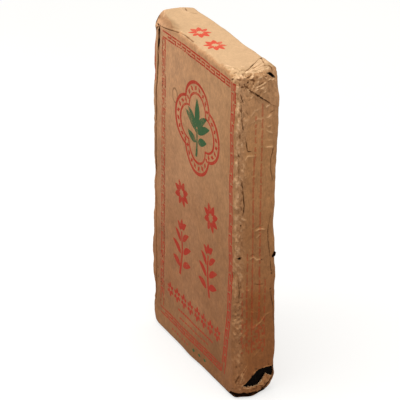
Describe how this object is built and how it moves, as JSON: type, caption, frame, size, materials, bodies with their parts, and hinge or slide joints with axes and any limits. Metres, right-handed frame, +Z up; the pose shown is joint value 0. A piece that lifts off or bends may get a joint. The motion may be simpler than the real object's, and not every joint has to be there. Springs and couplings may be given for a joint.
{
  "type": "paper-wrapped brick of pressed fu tea",
  "caption": "Brick of pressed dark tea in a worn kraft-paper wrapper, folded at the ends and torn open at one lower corner.",
  "frame": {"origin": "middle of the bottom end, on the floor", "axes": "+Z up the brick's long side, -Y out of the broad front, +X to the right of the front"},
  "size_m": [0.1917, 0.0495, 0.352],
  "materials": {
    "kraft_paper": "matte",
    "pressed_tea": "matte"
  },
  "bodies": {
    "root": {"paper_wrapper": "kraft_paper", "tea_brick": "pressed_tea"}
  },
  "joints": []
}
